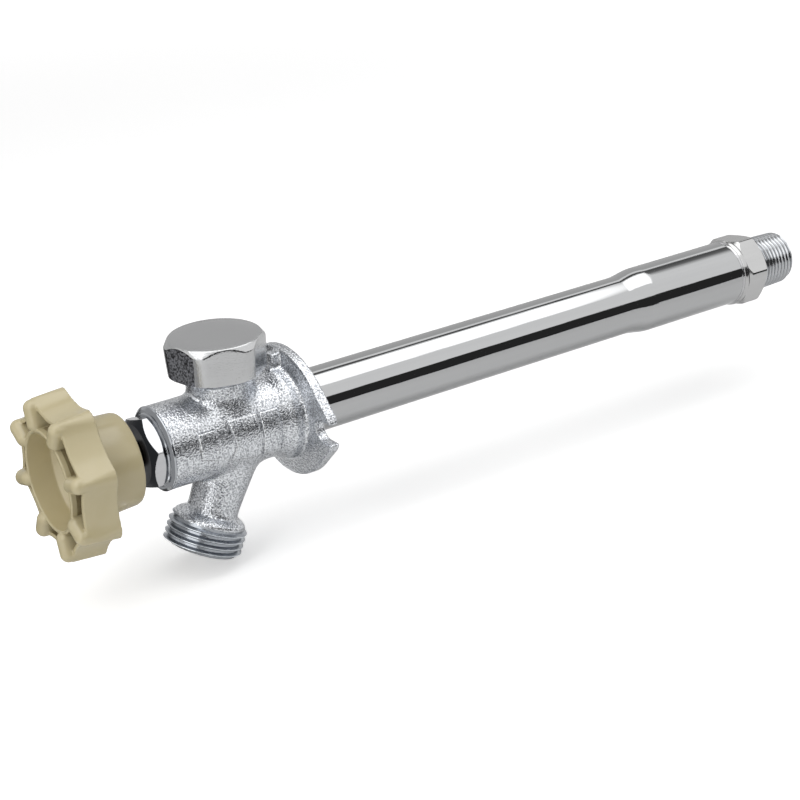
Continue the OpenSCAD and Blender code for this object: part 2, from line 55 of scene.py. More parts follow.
# Camera: the photograph's own view, from the side of the spout, a little above, rolled by under
# four degrees, with a long lens.
view = bpy.data.cameras.new("view")
view.lens = 79.08
view.sensor_width = 36
view.clip_start = 0.05
view.clip_end = 30
camera = bpy.data.objects.new("view", view)
bpy.context.scene.collection.objects.link(camera)
camera_right = Vector((0.56498, 0.82305, -0.05827))
camera_up = Vector((-0.28798, 0.26288, 0.92085))
camera_back = Vector((0.77322, -0.50348, 0.38554))
camera_place = Vector((0.48068, -0.26896, 0.22956))
turn = Matrix((camera_right, camera_up, camera_back)).transposed()
camera.matrix_world = Matrix.Translation(camera_place) @ turn.to_4x4()
bpy.context.scene.camera = camera


# Studio: a white table and room, a large soft box overhead, and white, grey and dark cards out of the
# camera's sight that give the plated parts something to reflect.
WHITE = (1, 1, 1, 1)


def link(mesh, name):
    made = bpy.data.objects.new(name, mesh)
    bpy.context.scene.collection.objects.link(made)
    return made


def new_material(name):
    made = bpy.data.materials.new(name)
    made.use_nodes = True
    made.node_tree.nodes.clear()
    return made


def join(tree, value, socket):
    """Sets a socket to a plain value, or joins another node's output to it."""
    if isinstance(value, bpy.types.NodeSocket):
        tree.links.new(value, socket)
    else:
        socket.default_value = value


def feed(tree, node, **values):
    """Sets or joins a node's inputs. An underscore stands for the space in an input's name."""
    for name, value in values.items():
        join(tree, value, node.inputs[name.replace("_", " ")])
    return node


def add(tree, kind, **values):
    """A new node with those inputs."""
    return feed(tree, tree.nodes.new(kind), **values)


def maths(tree, operation, a, b):
    """One step of arithmetic on two values."""
    made = tree.nodes.new("ShaderNodeMath")
    made.operation = operation
    join(tree, a, made.inputs[0])
    join(tree, b, made.inputs[1])
    return made.outputs[0]


def ease(tree, value, begins, ends, low, high, kind="LINEAR"):
    """A value that goes from low to high as another one goes from begins to ends."""
    made = add(tree, "ShaderNodeMapRange", Value=value, From_Min=begins, From_Max=ends, To_Min=low,
               To_Max=high)
    made.interpolation_type = kind
    return made.outputs["Result"]


def object_place(tree):
    """Object coordinates, which are metres in the shared frame."""
    return tree.nodes.new("ShaderNodeTexCoord").outputs["Object"]


def card(name, corners, strength, fade=None):
    """A glowing card that only reflections see. fade is (axis, from, to, strength there)."""
    mesh = bpy.data.meshes.new(name)
    mesh.from_pydata(corners, [], [(0, 1, 2, 3)])
    made = link(mesh, name)
    paper = new_material(name)
    tree = paper.node_tree
    if fade:
        axis, begins, ends, other = fade
        split = add(tree, "ShaderNodeSeparateXYZ", Vector=object_place(tree))
        strength = ease(tree, split.outputs[axis], begins, ends, strength, other, "SMOOTHSTEP")
    glow = add(tree, "ShaderNodeEmission", Color=WHITE, Strength=strength)
    add(tree, "ShaderNodeOutputMaterial", Surface=glow.outputs["Emission"])
    mesh.materials.append(paper)
    made.visible_camera = False
    made.visible_diffuse = False
    made.visible_shadow = False


half = 6
table_z = cad_box[0].z - 0.0015
table_mesh = bpy.data.meshes.new("table")
table_mesh.from_pydata([(-half, -half, table_z), (half, -half, table_z), (half, half, table_z),
                        (-half, half, table_z)], [], [(0, 1, 2, 3)])
table = link(table_mesh, "table")
paper = new_material("white_table")
tree = paper.node_tree
shade = add(tree, "ShaderNodeBsdfDiffuse", Color=(0.9, 0.9, 0.9, 1))
away = tree.nodes.new("ShaderNodeVectorMath")
away.operation = "LENGTH"
tree.links.new(object_place(tree), away.inputs[0])
glow = ease(tree, away.outputs["Value"], 0.5, 1.6, 0.46, 0.8, "SMOOTHSTEP")
seen_straight = tree.nodes.new("ShaderNodeLightPath").outputs["Is Camera Ray"]
lit = add(tree, "ShaderNodeEmission", Color=WHITE, Strength=maths(tree, "MULTIPLY", seen_straight, glow))
both = tree.nodes.new("ShaderNodeAddShader")
tree.links.new(shade.outputs["BSDF"], both.inputs[0])
tree.links.new(lit.outputs["Emission"], both.inputs[1])
add(tree, "ShaderNodeOutputMaterial", Surface=both.outputs["Shader"])
table_mesh.materials.append(paper)

# The front card is the black band low on the tube, the top card the white one above it, and the far card
# the soft grey one on the swaged part. The gap and rear cards are the thin dark line and the grey at the
# tube's top edge.
card("front_card", [(0.33, -0.75, table_z), (0.33, 1.3, table_z), (0.33, 1.3, 0.135), (0.33, -0.75, 0.135)],
     0.03)
card("top_card", [(-0.30, -0.9, 0.75), (0.36, -0.9, 0.75), (0.36, 1.2, 0.75), (-0.30, 1.2, 0.75)],
     2.0, ("Y", 0.68, 0.76, 1.0))
card("far_card", [(-0.30, 0.66, 0.62), (0.02, 0.66, 0.62), (0.02, 1.6, 0.62), (-0.30, 1.6, 0.62)],
     0.16, ("X", -0.24, 0.02, 1.0))
card("gap_card", [(-0.30, -1.0, 0.62), (-0.30, 1.6, 0.62), (-0.44, 1.6, 0.62), (-0.44, -1.0, 0.62)],
     0.12)
card("rear_card", [(-0.75, -1.0, -0.02), (-0.75, 1.8, -0.02), (-0.75, 1.8, 0.75), (-0.75, -1.0, 0.75)],
     0.55)

# The flag card keeps the handle's tan out of the plated parts behind it. The spark and side cards are the
# bright streaks on the hose thread and the spout, and the low card darkens what faces the handle.
card("flag_card", [(-0.024, -0.0604, -0.03), (0.017, -0.0604, -0.03), (0.017, -0.0604, 0.026),
                   (-0.024, -0.0604, 0.026)], 0.4)
card("spark_card", [(0.0065, -0.0603, -0.033), (0.0165, -0.0603, -0.033), (0.0165, -0.0603, -0.0235),
                    (0.0065, -0.0603, -0.0235)], 1.7)
card("side_card", [(0.19, -0.506, -0.04), (0.35, -0.402, -0.04), (0.35, -0.402, 0.42),
                   (0.19, -0.506, 0.42)], 1.8)
low_z = table_z + 0.0005
card("low_card", [(-0.9, -1.2, low_z), (-0.02, -1.2, low_z), (-0.02, -0.045, low_z), (-0.9, -0.045, low_z)],
     0.07)

room = bpy.data.worlds.new("room")
bpy.context.scene.world = room
room.use_nodes = True
tree = room.node_tree
tree.nodes.clear()
fill = add(tree, "ShaderNodeBackground", Color=WHITE, Strength=0.36)
seen = add(tree, "ShaderNodeBackground", Color=WHITE, Strength=1.0)
path = tree.nodes.new("ShaderNodeLightPath").outputs
shows = maths(tree, "MAXIMUM", path["Is Camera Ray"], path["Is Glossy Ray"])
shows = maths(tree, "MAXIMUM", shows, path["Is Transmission Ray"])
mix = add(tree, "ShaderNodeMixShader", Fac=shows)
tree.links.new(fill.outputs[0], mix.inputs[1])
tree.links.new(seen.outputs[0], mix.inputs[2])
add(tree, "ShaderNodeOutputWorld", Surface=mix.outputs[0])


def lamp(name, size, energy):
    """A soft lamp that reflections don't show."""
    light = bpy.data.lights.new(name, "AREA")
    light.shape = "RECTANGLE"
    light.size, light.size_y = size
    light.energy = energy
    made = bpy.data.objects.new(name, light)
    bpy.context.scene.collection.objects.link(made)
    made.visible_glossy = False
    return made


lamp("overhead", (0.62, 1.6), 3.9).location = (0.02, 0.12, 0.72)
to_front_lamp = Vector((0.22, -0.45, 0.34))
front_lamp_place = Matrix.Translation(Vector((0, -0.09, 0)) + to_front_lamp)
lamp("front", (0.3, 0.3), 1.2).matrix_world = (
    front_lamp_place @ to_front_lamp.to_track_quat("Z", "Y").to_matrix().to_4x4())

bpy.context.scene.view_settings.view_transform = "Standard"


# Cast body: brass, sand cast, plated over its grainy skin. Barrel, spout, breaker neck, flange and
# rib run into each other in soft fillets. Only its front ring, thread and bores are machined.
MM = 0.001


def smooth_min(a, b, k):
    """The lesser of two distances, with a fillet about as wide as k where they meet."""
    h = np.maximum(k - np.abs(a - b), 0) / k
    return np.minimum(a, b) - h * h * h * k / 6


def smooth_max(a, b, k):
    return -smooth_min(-a, -b, k)


def outline_distance(px, py, points):
    """Signed distance in a plane to a closed outline, negative inside."""
    nearest = None
    inside = None
    for i, (ax, ay) in enumerate(points):
        bx, by = points[i - 1]
        ex, ey = bx - ax, by - ay
        wx, wy = px - ax, py - ay
        t = np.clip((wx * ex + wy * ey) / (ex * ex + ey * ey), 0, 1)
        gap = (wx - ex * t) ** 2 + (wy - ey * t) ** 2
        nearest = gap if nearest is None else np.minimum(nearest, gap)
        if ey == 0:
            continue
        crosses = ((ay <= py) != (by <= py)) & (px < ax + (py - ay) * ex / ey)
        inside = crosses if inside is None else inside ^ crosses
    return np.sqrt(nearest) * np.where(inside, -1.0, 1.0)


def skin(name, distance, low, high, step):
    """A mesh of even squares over the surface where distance is 0, in millimetres. A few rounds then
    settle its points on the surface."""
    settling_rounds, reach, flattest = 4, 0.05, 0.2
    axes = [np.arange(a, b + step, step) for a, b in zip(low, high)]
    x, y, z = np.meshgrid(*axes, indexing="ij", sparse=True)
    field = np.broadcast_to(distance(x, y, z), [len(a) for a in axes]).astype(np.float32)
    inside = field < 0
    corners = [(i, j, k) for i in (0, 1) for j in (0, 1) for k in (0, 1)]
    shape = [n - 1 for n in field.shape]

    def at(array, c):
        return array[c[0]:c[0] + shape[0], c[1]:c[1] + shape[1], c[2]:c[2] + shape[2]]

    count = sum(at(inside, c).astype(np.int8) for c in corners)
    cells = np.argwhere((count > 0) & (count < 8))
    number = np.full(shape, -1, np.int64)
    number[tuple(cells.T)] = np.arange(len(cells))
    total = np.zeros((len(cells), 3))
    crossings = np.zeros(len(cells))
    for a in corners:
        for axis in range(3):
            if a[axis]:
                continue
            b = list(a)
            b[axis] = 1
            fa = field[tuple((cells + a).T)]
            fb = field[tuple((cells + b).T)]
            cut = (fa < 0) != (fb < 0)
            t = np.where(cut, fa / np.where(cut, fa - fb, 1), 0)
            point = np.array(a, float) + np.zeros((len(cells), 3))
            point[:, axis] = t
            total += point * cut[:, None]
            crossings += cut
    place = (cells + total / crossings[:, None]) * step + np.array(low)
    quads = []
    for axis in range(3):
        u, v = [(1, 2), (2, 0), (0, 1)][axis]
        first = [slice(None)] * 3
        second = [slice(None)] * 3
        first[axis] = slice(0, -1)
        second[axis] = slice(1, None)
        here, there = inside[tuple(first)], inside[tuple(second)]
        edges = np.argwhere(here != there)
        edges = edges[(edges[:, u] > 0) & (edges[:, v] > 0)
                      & (edges[:, u] < shape[u]) & (edges[:, v] < shape[v])]
        leaving = here[tuple(edges.T)]
        ring = []
        for du, dv in ((-1, -1), (0, -1), (0, 0), (-1, 0)):
            cell = edges.copy()
            cell[:, u] += du
            cell[:, v] += dv
            ring.append(number[tuple(cell.T)])
        quad = np.stack(ring, 1)
        quad[~leaving] = quad[~leaving][:, ::-1]
        quads.append(quad)
    quads = np.concatenate(quads)
    for _ in range(settling_rounds):
        d = distance(*place.T)
        slope = np.stack([
            distance(*(place + reach * np.eye(3)[i]).T) - distance(*(place - reach * np.eye(3)[i]).T)
            for i in range(3)], 1) / (2 * reach)
        size = np.maximum((slope ** 2).sum(1), flattest)
        move = -(d / size)[:, None] * slope
        far = np.maximum(np.linalg.norm(move, axis=1) / (0.5 * step), 1)
        place = place + move / far[:, None]
    mesh = bpy.data.meshes.new(name)
    mesh.vertices.add(len(place))
    mesh.vertices.foreach_set("co", (place * MM).astype(np.float32).ravel())
    mesh.loops.add(quads.size)
    mesh.loops.foreach_set("vertex_index", quads.ravel().astype(np.int32))
    mesh.polygons.add(len(quads))
    mesh.polygons.foreach_set("loop_start", np.arange(0, quads.size, 4, dtype=np.int32))
    mesh.polygons.foreach_set("loop_total", np.full(len(quads), 4, np.int32))
    mesh.update(calc_edges=True)
    mesh.validate()
    mesh.shade_smooth()
    return link(mesh, name)


def finish(name, colour, metallic, roughness):
    """A material with its own shader, and its tree and shader for masks and bumps to be joined to."""
    made = new_material(name)
    tree = made.node_tree
    shader = add(tree, "ShaderNodeBsdfPrincipled", Base_Color=(*colour, 1), Metallic=metallic,
                 Roughness=roughness)
    add(tree, "ShaderNodeOutputMaterial", Surface=shader.outputs["BSDF"])
    return made, tree, shader


def effect(name, inputs, outputs):
    """An empty shader group with those sockets, and its two end nodes."""
    made = bpy.data.node_groups.new(name, "ShaderNodeTree")
    for socket, value in inputs:
        kind = "NodeSocketVector" if isinstance(value, tuple) else "NodeSocketFloat"
        made.interface.new_socket(socket, in_out="INPUT", socket_type=kind).default_value = value
    for socket in outputs:
        made.interface.new_socket(socket, in_out="OUTPUT", socket_type="NodeSocketFloat")
    return made, made.nodes.new("NodeGroupInput"), made.nodes.new("NodeGroupOutput")


def use(tree, group, **values):
    """Places a shader group in a material, with its own values."""
    placed = tree.nodes.new("ShaderNodeGroup")
    placed.node_tree = group
    return feed(tree, placed, **values)


def blend_values(tree, factor, low, high):
    """A value that goes from low to high as factor goes from 0 to 1."""
    return ease(tree, factor, 0, 1, low, high)


def tint(tree, factor, colour, other):
    """Lays another colour over one as factor goes from 0 to 1."""
    mix = tree.nodes.new("ShaderNodeMix")
    mix.data_type = "RGBA"
    join(tree, factor, mix.inputs["Factor"])
    join(tree, colour, mix.inputs["A"])
    mix.inputs["B"].default_value = (*other, 1)
    return mix.outputs["Result"]


def blend_colours(tree, factor, low, high):
    """A colour that goes from low to high as factor goes from 0 to 1."""
    return tint(tree, factor, (*low, 1), high)


def raise_surface(tree, height, depth, normal=None):
    """A bump of that depth in metres, laid over another bump's normal if one is given."""
    bump = add(tree, "ShaderNodeBump", Strength=1.0, Distance=depth, Height=height)
    if normal is not None:
        tree.links.new(normal, bump.inputs["Normal"])
    return bump.outputs["Normal"]


def line_at(tree, distance, place, half_width, weight):
    """weight on a thin line where distance is place, fading to 0 at half_width."""
    off = maths(tree, "ABSOLUTE", maths(tree, "SUBTRACT", distance, place), 0.0)
    return ease(tree, off, half_width, 0.3 * half_width, 0, weight)


# cast_grain: the sand's print, crisp grains with finer grit between them, and dark pits.
cast_grain, ends_in, ends_out = effect(
    "cast_grain", [("Grain Size", 1.0), ("Grit", 0.4)], ["Height", "Speckle"])
place = object_place(cast_grain)
per_grain = maths(cast_grain, "DIVIDE", 1000, ends_in.outputs["Grain Size"])
per_grit = maths(cast_grain, "MULTIPLY", per_grain, 2.3)
grains = add(cast_grain, "ShaderNodeTexNoise", Vector=place, Scale=per_grain, Detail=1, Roughness=0.5)
grit = add(cast_grain, "ShaderNodeTexNoise", Vector=place, Scale=per_grit, Detail=1)
pits = add(cast_grain, "ShaderNodeTexNoise", Vector=place, Scale=per_grain, Detail=2, Roughness=0.65)
some_grit = maths(cast_grain, "MULTIPLY", grit.outputs["Fac"], ends_in.outputs["Grit"])
feed(cast_grain, ends_out, Height=maths(cast_grain, "ADD", some_grit, grains.outputs["Fac"]),
     Speckle=ease(cast_grain, pits.outputs["Fac"], 0.38, 0.58, 0, 1))

# The casting's plate is dull in its pits and bright on its grains. The edges of the raised panels carry
# a painted highlight, with a painted line of shade at their foot.
plated_cast, tree, shader = finish("plated_cast", (0.5, 0.52, 0.55), 1.0, 0.3)
sand = use(tree, cast_grain, Grain_Size=0.6, Grit=0.3)
to_panel = tree.nodes.new("ShaderNodeAttribute")
to_panel.attribute_name = "to_panel"
skin_colour = blend_colours(tree, sand.outputs["Speckle"], (0.32, 0.335, 0.36), (0.9, 0.92, 0.95))
# Painted highlight along each panel's edge, painted shade along its foot.
painted_edge_highlight = line_at(tree, to_panel.outputs["Fac"], -0.26, 0.24, 0.5)
painted_foot_shade = line_at(tree, to_panel.outputs["Fac"], 0.14, 0.22, 0.42)
edged = tint(tree, painted_edge_highlight, skin_colour, (0.95, 0.96, 0.97))
feed(tree, shader, Base_Color=tint(tree, painted_foot_shade, edged, (0.16, 0.17, 0.185)),
     Roughness=blend_values(tree, sand.outputs["Speckle"], 0.22, 0.12),
     Normal=raise_surface(tree, sand.outputs["Height"], 0.00019))

# Sizes in millimetres. The flange's outline is two long arcs joined by two round ends, with an open
# notch for a screw in each end.
BARREL_R, BARREL_FRONT_Y = 14.3, -51.35
SPOUT_Y, SPOUT_TILT = -20.7, math.radians(25)
BREAKER_Y = -26.2
HOSE_ROOT_R = 12.1
FLANGE_THICK, NOTCH_X, NOTCH_R = 3.5, 25, 3.5
ARC_R, HALF_HEIGHT, END_R, END_X = 30.0, 22.5, 10.0, 21.0
drop = ARC_R - HALF_HEIGHT
joins = math.atan2(drop, END_X) + math.acos((ARC_R - END_R) / math.hypot(END_X, drop))
flange_points = []
for sign in (1, -1):
    for i in range(33):
        a = joins + (math.pi - 2 * joins) * i / 32
        flange_points.append((sign * ARC_R * math.cos(a), sign * (ARC_R * math.sin(a) - drop)))
    for i in range(1, 24):
        a = math.pi - joins + 2 * joins * i / 24
        flange_points.append((sign * (END_R * math.cos(a) - END_X), sign * END_R * math.sin(a)))

# The bare raised panels on the barrel's +X side, as outlines of (y, z).
PANEL_RISE, PANEL_X, PANEL_FILLET = 0.8, 8, 0.12
PANELS = [
    [(-42.4, 6.6), (-36.2, 6.6), (-35.6, 3), (-36.6, -3.8), (-42.6, -2)],
    [(-31, 8), (-20.4, 7.7), (-20.1, -7.8), (-31.5, -5.6), (-29.5, -0.7)],
    [(-19.4, 7.6), (-12.4, 7.5), (-12.4, -7.7), (-19.3, -7.4)],
]


def in_spout(x, y, z):
    """Distance from the spout's axis, and distance down it, in millimetres."""
    down = -((y - SPOUT_Y) * math.sin(SPOUT_TILT) + z * math.cos(SPOUT_TILT))
    side = (y - SPOUT_Y) * math.cos(SPOUT_TILT) - z * math.sin(SPOUT_TILT)
    return np.sqrt(x * x + side * side), down


def body_distance(x, y, z):
    """Each profile is (radius, along) on its own axis. The flange's wall face is the plane y = 0."""
    rho = np.sqrt(x * x + z * z)
    barrel = outline_distance(rho, y, [
        (-5, BARREL_FRONT_Y), (BARREL_R - 0.3, BARREL_FRONT_Y), (BARREL_R, BARREL_FRONT_Y + 0.3),
        (BARREL_R, 3), (-5, 3)])
    collar = outline_distance(rho, y, [
        (-5, -11.4), (BARREL_R - 0.2, -11.4), (16.3, -7.5), (16.3, 3), (-5, 3)])
    shape = smooth_min(barrel, collar, 1.2)
    from_spout, down = in_spout(x, y, z)
    spout = outline_distance(from_spout, down, [
        (-5, 0), (10.0, 0), (10.0, 12), (9.6, 17), (9.05, 23), (8.7, 28.2), (8.7, 30.2), (9.2, 31.4),
        (10.9, 32.2), (12.0, 33.1), (12.35, 33.9), (HOSE_ROOT_R, 34.5),
        (HOSE_ROOT_R, 43.6), (HOSE_ROOT_R - 0.5, 44.1), (-5, 44.1)])
    shape = smooth_min(shape, spout, 4.2)
    up_y = y - BREAKER_Y
    from_breaker = np.sqrt(x * x + up_y * up_y)
    boss = outline_distance(from_breaker, z, [
        (-5, 2), (12.2, 2), (12.2, 8.2), (11.8, 9.8), (11.3, 12), (11, 14), (11, 18.2), (12.6, 19.8),
        (12.6, 26.2), (11.8, 27), (-5, 27)])
    shape = smooth_min(shape, boss, 3.4)
    across_plate = np.abs(y + FLANGE_THICK / 2) - FLANGE_THICK / 2
    plate = smooth_max(outline_distance(x, z, flange_points), across_plate, 0.9)
    shape = smooth_min(shape, plate, 2.4)
    rib = smooth_max(np.abs(x) - 2.0, np.maximum(np.maximum(-(y + 8.4), z - 21.3), 10 - z), 0.8)
    rib = np.maximum(rib, y + 1)
    rib = smooth_max(rib, -(y + 7.05) - np.maximum(18.4 - z, 0) * 0.55, 0.8)
    shape = np.maximum(smooth_min(shape, rib, 1.6), y)
    for panel in PANELS:
        raised = np.maximum(outline_distance(y, z, panel), rho - BARREL_R - PANEL_RISE)
        shape = smooth_min(shape, np.maximum(raised, PANEL_X - x), PANEL_FILLET)
    notch = np.minimum(np.sqrt((np.abs(x) - NOTCH_X) ** 2 + z * z) - NOTCH_R,
                       np.maximum(np.abs(z) - NOTCH_R, NOTCH_X - np.abs(x)))
    shape = smooth_max(shape, -notch, 1.0)
    bores = outline_distance(rho, y, [
        (-5, -60), (10.2, -60), (10.2, -32.1), (9, -32.1), (9, -11.5), (11.16, -11.5), (11.16, 5), (-5, 5)])
    throat = outline_distance(from_spout, down, [
        (-5, 2), (6.2, 2), (6.2, 32), (9.8, 36), (9.8, 43.5), (10.6, 44.3), (10.6, 50), (-5, 50)])
    well = outline_distance(from_breaker, z, [
        (-5, 2), (5, 2), (5, 13), (6.4, 13), (6.4, 12), (9, 12), (9, 30), (-5, 30)])
    return np.maximum(shape, -np.minimum(np.minimum(bores, throat), well))


casting = skin("cast_body", body_distance, (-33, -52.6, -43), (33, 1.5, 28.5), 0.48)
casting.data.materials.append(plated_cast)

# to_panel: millimetres from the nearest panel's outline, negative inside it, for the painted highlight
# and painted shade at its edge.
NO_PANEL = 9
where = np.zeros(3 * len(casting.data.vertices), np.float32)
casting.data.vertices.foreach_get("co", where)
x, y, z = where.reshape(-1, 3).T / MM
nearest = np.min([outline_distance(y, z, panel) for panel in PANELS], axis=0)
nearest = np.where((x > PANEL_X) & (np.hypot(x, z) < BARREL_R + 2.5), nearest, NO_PANEL)
values = casting.data.attributes.new("to_panel", "FLOAT", "POINT").data
values.foreach_set("value", nearest.astype(np.float32))
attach(casting, "fixed_body")
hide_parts("valve_body")


# Front ring of the barrel: the casting's end, turned bright on a lathe where the packing nut seats.
# Its rim is rounded, with a step down to the nut.
def close_up(mesh, crease):
    """Merges doubles, points the faces outwards and keeps edges sharp that bend by crease degrees."""
    work = bmesh.new()
    work.from_mesh(mesh)
    bmesh.ops.remove_doubles(work, verts=work.verts, dist=2e-6)
    bmesh.ops.recalc_face_normals(work, faces=work.faces)
    for face in work.faces:
        face.smooth = True
    for edge in work.edges:
        edge.smooth = len(edge.link_faces) == 2 and edge.calc_face_angle(0) < math.radians(crease)
    work.to_mesh(mesh)
    work.free()


def turned_piece(name, profile, steps=144):
    """A lathe's work: a closed profile of (radius, along) in millimetres, turned about Y."""
    points = []
    for i in range(steps):
        a = 2 * math.pi * i / steps
        points += [(r * math.cos(a) * MM, y * MM, r * math.sin(a) * MM) for r, y in profile]
    n = len(profile)
    faces = [(i * n + j, i * n + (j + 1) % n, (i + 1) % steps * n + (j + 1) % n, (i + 1) % steps * n + j)
             for i in range(steps) for j in range(n)
             if profile[j][0] > 0 or profile[(j + 1) % n][0] > 0]
    mesh = bpy.data.meshes.new(name)
    mesh.from_pydata(points, [], faces)
    close_up(mesh, 24.0)
    return link(mesh, name)


def corner(before, at, after, radius):
    """Points that round one corner of a profile."""
    steps = 4
    a, b, c = (Vector(v) for v in (before, at, after))
    u, v = (a - b).normalized(), (c - b).normalized()
    bend = math.acos(max(-1.0, min(1.0, u.dot(v)))) / 2
    back = radius / math.tan(bend)
    centre = b + (u + v).normalized() * (radius / math.sin(bend))
    start, end = b + u * back - centre, b + v * back - centre
    swing = start.angle_signed(end)
    return [tuple(centre + Matrix.Rotation(-swing * i / steps, 2) @ start) for i in range(steps + 1)]


def rounded(profile, radii):
    """A closed profile with some corners rounded: radii is {corner number: radius}."""
    points = []
    for i, at in enumerate(profile):
        if i in radii:
            points += corner(profile[i - 1], at, profile[(i + 1) % len(profile)], radii[i])
        else:
            points.append(at)
    return points


# tool_marks: fine lines left by a lathe, mill or draw bench, stretched along one direction.
tool_marks, ends_in, ends_out = effect(
    "tool_marks", [("Stretch", (1.0, 1.0, 1.0)), ("Line Width", 0.2)], ["Height", "Streak"])
stretched = tool_marks.nodes.new("ShaderNodeVectorMath")
stretched.operation = "MULTIPLY"
join(tool_marks, object_place(tool_marks), stretched.inputs[0])
join(tool_marks, ends_in.outputs["Stretch"], stretched.inputs[1])
per_line = maths(tool_marks, "DIVIDE", 1000, ends_in.outputs["Line Width"])
per_streak = maths(tool_marks, "MULTIPLY", per_line, 0.12)
lines = add(tool_marks, "ShaderNodeTexNoise", Vector=stretched.outputs["Vector"], Scale=per_line, Detail=2)
streaks = add(tool_marks, "ShaderNodeTexNoise", Vector=stretched.outputs["Vector"], Scale=per_streak,
              Detail=5)
feed(tool_marks, ends_out, Height=lines.outputs["Fac"],
     Streak=ease(tool_marks, streaks.outputs["Fac"], 0.3, 0.7, 0, 1))

# handling: broad soft smudges, where a plated surface has been touched or wiped.
handling, ends_in, ends_out = effect("handling", [("Size", 12.0)], ["Smudge"])
per_smudge = maths(handling, "DIVIDE", 1000, ends_in.outputs["Size"])
smudges = add(handling, "ShaderNodeTexNoise", Vector=object_place(handling), Scale=per_smudge, Detail=4,
              Distortion=0.6)
feed(handling, ends_out, Smudge=ease(handling, smudges.outputs["Fac"], 0.35, 0.7, 0, 1))


def plated(name, colour, smooth, dull, stretch, line_width, depth):
    """Bright plate over machined brass: tool marks under it, smudges on it. smooth and dull are its
    roughness where it is clean and where it is smudged."""
    made, tree, shader = finish(name, colour, 1.0, smooth)
    marks = use(tree, tool_marks, Stretch=stretch, Line_Width=line_width)
    touched = use(tree, handling, Size=14.0)
    darker = tuple(c * 0.93 for c in colour)
    feed(tree, shader, Base_Color=blend_colours(tree, marks.outputs["Streak"], darker, colour),
         Roughness=blend_values(tree, touched.outputs["Smudge"], smooth, dull),
         Normal=raise_surface(tree, marks.outputs["Height"], depth))
    return made


plated_turned = plated("plated_turned", (0.52, 0.54, 0.57), 0.1, 0.2, (0.02, 1.0, 0.02), 0.3, 0.00003)
front_ring = turned_piece("body_front_ring", rounded([
    (10.22, -51.0), (10.22, -53.2), (12.1, -53.2), (12.4, -52.7), (13.3, -52.7), (14.4, -51.9),
    (14.4, -51.45), (13.9, -51.3), (13.9, -51.0)], {2: 0.2, 3: 0.2, 4: 0.3, 5: 0.4, 6: 0.06}))
front_ring.data.materials.append(plated_turned)
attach(front_ring, "fixed_body")


# Hose thread on the spout: 3/4 inch garden hose, 11.5 to the inch, right handed, cut after casting and
# plated with it. Its first and last turns run out into the metal. Its crests carry a painted highlight and
# its flanks and root painted shade; the flanks are also rougher than the crests.
def thread_tree():
    """Geometry nodes for one thread: a spiral with a rounded ridge swept along it."""
    tree = bpy.data.node_groups.new("thread", "GeometryNodeTree")
    sockets = tree.interface
    sockets.new_socket("Geometry", in_out="OUTPUT", socket_type="NodeSocketGeometry")
    for name, value in (("Start Radius", 0.0121), ("End Radius", 0.0121), ("Length", 0.0077),
                        ("Turns", 3.5), ("Ridge Height", 0.0013), ("Ridge Foot", 0.0019),
                        ("Ridge Top", 0.0005), ("Ridge Round", 0.0001), ("Run Out", 0.4)):
        sockets.new_socket(name, in_out="INPUT", socket_type="NodeSocketFloat").default_value = value
    sockets.new_socket("Finish", in_out="INPUT", socket_type="NodeSocketMaterial")
    asked = tree.nodes.new("NodeGroupInput").outputs
    ends_out = tree.nodes.new("NodeGroupOutput")
    spiral = add(tree, "GeometryNodeCurveSpiral", Resolution=96, Rotations=asked["Turns"],
                 Start_Radius=asked["Start Radius"], End_Radius=asked["End Radius"],
                 Height=asked["Length"], Reverse=True)
    upright = add(tree, "GeometryNodeSetCurveNormal", Curve=spiral.outputs["Curve"])
    upright.mode = "Z_UP"
    along = tree.nodes.new("GeometryNodeSplineParameter").outputs["Factor"]
    per_end = maths(tree, "DIVIDE", asked["Turns"], asked["Run Out"])
    rise = maths(tree, "MULTIPLY", along, per_end)
    fall = maths(tree, "MULTIPLY", maths(tree, "SUBTRACT", 1.0, along), per_end)
    size = maths(tree, "MINIMUM", maths(tree, "MINIMUM", rise, fall), 1.0)
    size = maths(tree, "MAXIMUM", size, 0.02)
    ridge = tree.nodes.new("GeometryNodeCurvePrimitiveQuadrilateral")
    ridge.mode = "TRAPEZOID"
    feed(tree, ridge, Height=asked["Ridge Height"], Bottom_Width=asked["Ridge Foot"],
         Top_Width=asked["Ridge Top"], Offset=0)
    eased = tree.nodes.new("GeometryNodeFilletCurve")
    eased.mode = "POLY"
    feed(tree, eased, Curve=ridge.outputs["Curve"], Radius=asked["Ridge Round"], Count=3)
    turned = add(tree, "GeometryNodeTransform", Geometry=eased.outputs["Curve"],
                 Rotation=(0, 0, -math.pi / 2))
    swept = add(tree, "GeometryNodeCurveToMesh", Curve=upright.outputs["Curve"],
                Profile_Curve=turned.outputs["Geometry"], Scale=size, Fill_Caps=True)
    real = add(tree, "GeometryNodeRealizeInstances", Geometry=swept.outputs["Mesh"])
    coated = add(tree, "GeometryNodeSetMaterial", Geometry=real.outputs["Geometry"],
                 Material=asked["Finish"])
    feed(tree, ends_out, Geometry=coated.outputs["Geometry"])
    return tree


thread_nodes = thread_tree()


def thread(name, material, place, **values):
    """Runs the thread's nodes with these values, and returns the result as a plain mesh in place."""
    base = link(bpy.data.meshes.new(name + "_base"), name + "_base")
    live = base.modifiers.new("thread", "NODES")
    live.node_group = thread_nodes
    keys = {item.name: item.identifier for item in thread_nodes.interface.items_tree
            if item.in_out == "INPUT"}
    for socket, value in values.items():
        live[keys[socket.replace("_", " ")]] = value
    live[keys["Finish"]] = material
    graph = bpy.context.evaluated_depsgraph_get()
    graph.update()
    mesh = bpy.data.meshes.new_from_object(base.evaluated_get(graph))
    base.modifiers.remove(live)
    bpy.data.objects.remove(base)
    mesh.name = name
    mesh.transform(place)
    close_up(mesh, 40.0)
    return link(mesh, name)


